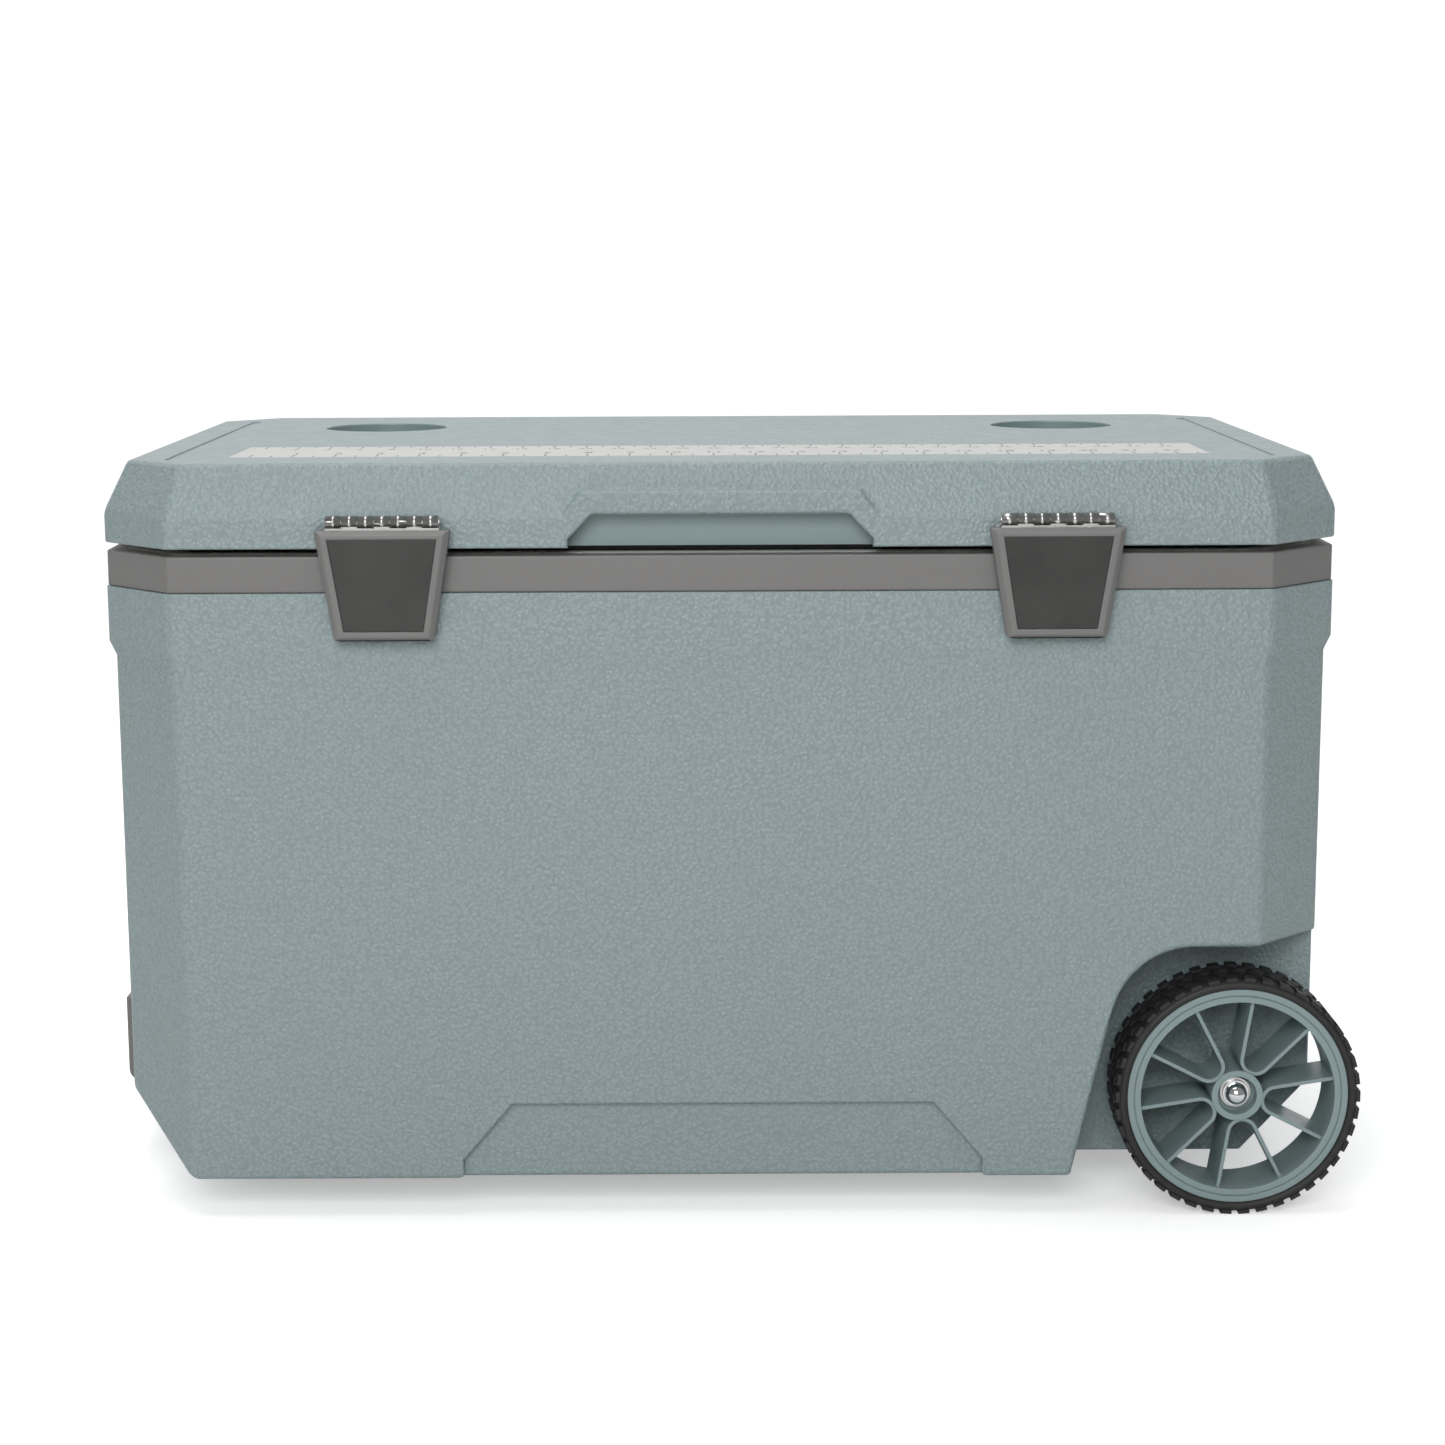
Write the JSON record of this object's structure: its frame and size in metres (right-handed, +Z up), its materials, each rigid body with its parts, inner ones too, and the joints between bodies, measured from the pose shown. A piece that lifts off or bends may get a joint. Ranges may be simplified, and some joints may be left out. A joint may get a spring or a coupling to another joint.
{
  "type": "wheeled cooler",
  "caption": "Insulated hard cooler with a hinged lid, front latches, a wheel axle at one end, a swing tow handle at the other and recessed drink holders.",
  "frame": {"origin": "centre of the bounding box on the floor, z = 0 at the wheels' and feet's lowest point", "axes": "+X towards the wheel end, +Y towards the back where the lid is hinged, +Z up; the latches face -Y"},
  "size_m": [0.7674, 0.4608, 0.4572],
  "materials": {
    "teal_plastic": "satin",
    "grey_plastic": "satin",
    "white_plastic": "satin",
    "ruler_print": "satin",
    "foam": "matte",
    "tyre_rubber": "matte",
    "black_rubber": "matte",
    "black_plastic": "satin",
    "stainless_steel": "satin",
    "chrome_steel": "polished"
  },
  "bodies": {
    "cooler_body": {"body_shell": "teal_plastic", "body_foam": "foam", "inner_liner": "white_plastic", "rim_band": "grey_plastic", "axle_tube": "black_plastic", "axle": "stainless_steel", "wheel_washers": "stainless_steel", "axle_caps": "chrome_steel", "foot_front": "black_rubber", "foot_back": "black_rubber", "foot_screws": "stainless_steel", "drain_fitting": "white_plastic", "drain_gasket": "black_rubber", "drain_nut": "white_plastic", "hinge_body_leaf_left": "stainless_steel", "hinge_body_leaf_right": "stainless_steel", "hinge_pin_left": "stainless_steel", "hinge_pin_right": "stainless_steel", "hinge_body_screws": "stainless_steel", "handle_bracket_front": "grey_plastic", "handle_bracket_back": "grey_plastic", "handle_bracket_screws": "stainless_steel", "handle_pins": "stainless_steel"},
    "lid": {"lid_shell": "teal_plastic", "lid_foam": "foam", "lid_liner": "white_plastic", "lid_gasket": "black_rubber", "ruler_strip": "ruler_print", "hinge_lid_leaf_left": "stainless_steel", "hinge_lid_leaf_right": "stainless_steel", "hinge_lid_screws": "stainless_steel", "latch_lid_leaf_left": "stainless_steel", "latch_lid_leaf_right": "stainless_steel", "latch_pin_left": "stainless_steel", "latch_pin_right": "stainless_steel", "latch_lid_screws": "stainless_steel"},
    "latch_left": {"latch_frame_left": "grey_plastic", "latch_plate_left": "stainless_steel", "latch_leaf_left": "stainless_steel", "latch_rivets_left": "stainless_steel"},
    "latch_right": {"latch_frame_right": "grey_plastic", "latch_plate_right": "stainless_steel", "latch_leaf_right": "stainless_steel", "latch_rivets_right": "stainless_steel"},
    "wheel_front": {"tyre_front": "tyre_rubber", "rim_front": "teal_plastic", "bush_front": "black_plastic"},
    "wheel_back": {"tyre_back": "tyre_rubber", "rim_back": "teal_plastic", "bush_back": "black_plastic"},
    "handle": {"tow_handle": "grey_plastic", "tow_handle_grip": "black_rubber"},
    "plug": {"drain_plug": "black_rubber"}
  },
  "joints": [
    {"name": "lid_hinge", "type": "hinge", "parent": "cooler_body", "child": "lid", "pos_m": [-0.0012, 0.2262, 0.40615], "axis": [-1, 0, 0], "range_deg": [0, 100]},
    {"name": "latch_left_swing", "type": "hinge", "parent": "lid", "child": "latch_left", "pos_m": [-0.19718, -0.2228, 0.4243], "axis": [-1, 0, 0], "range_deg": [0, 150]},
    {"name": "latch_right_swing", "type": "hinge", "parent": "lid", "child": "latch_right", "pos_m": [0.19478, -0.2228, 0.4243], "axis": [-1, 0, 0], "range_deg": [0, 150]},
    {"name": "wheel_front_spin", "type": "hinge", "parent": "cooler_body", "child": "wheel_front", "pos_m": [0.3097, -0.1974, 0.074], "axis": [0, 1, 0], "continuous": true},
    {"name": "wheel_back_spin", "type": "hinge", "parent": "cooler_body", "child": "wheel_back", "pos_m": [0.3097, 0.2006, 0.074], "axis": [0, 1, 0], "continuous": true},
    {"name": "tow_handle_swing", "type": "hinge", "parent": "cooler_body", "child": "handle", "pos_m": [-0.3735, 0.0016, 0.2916], "axis": [0, 1, 0], "range_deg": [0, 150]},
    {"name": "drain_plug_pull", "type": "slide", "parent": "cooler_body", "child": "plug", "axis": [0, 1, 0], "range_m": [0, 0.03]}
  ]
}
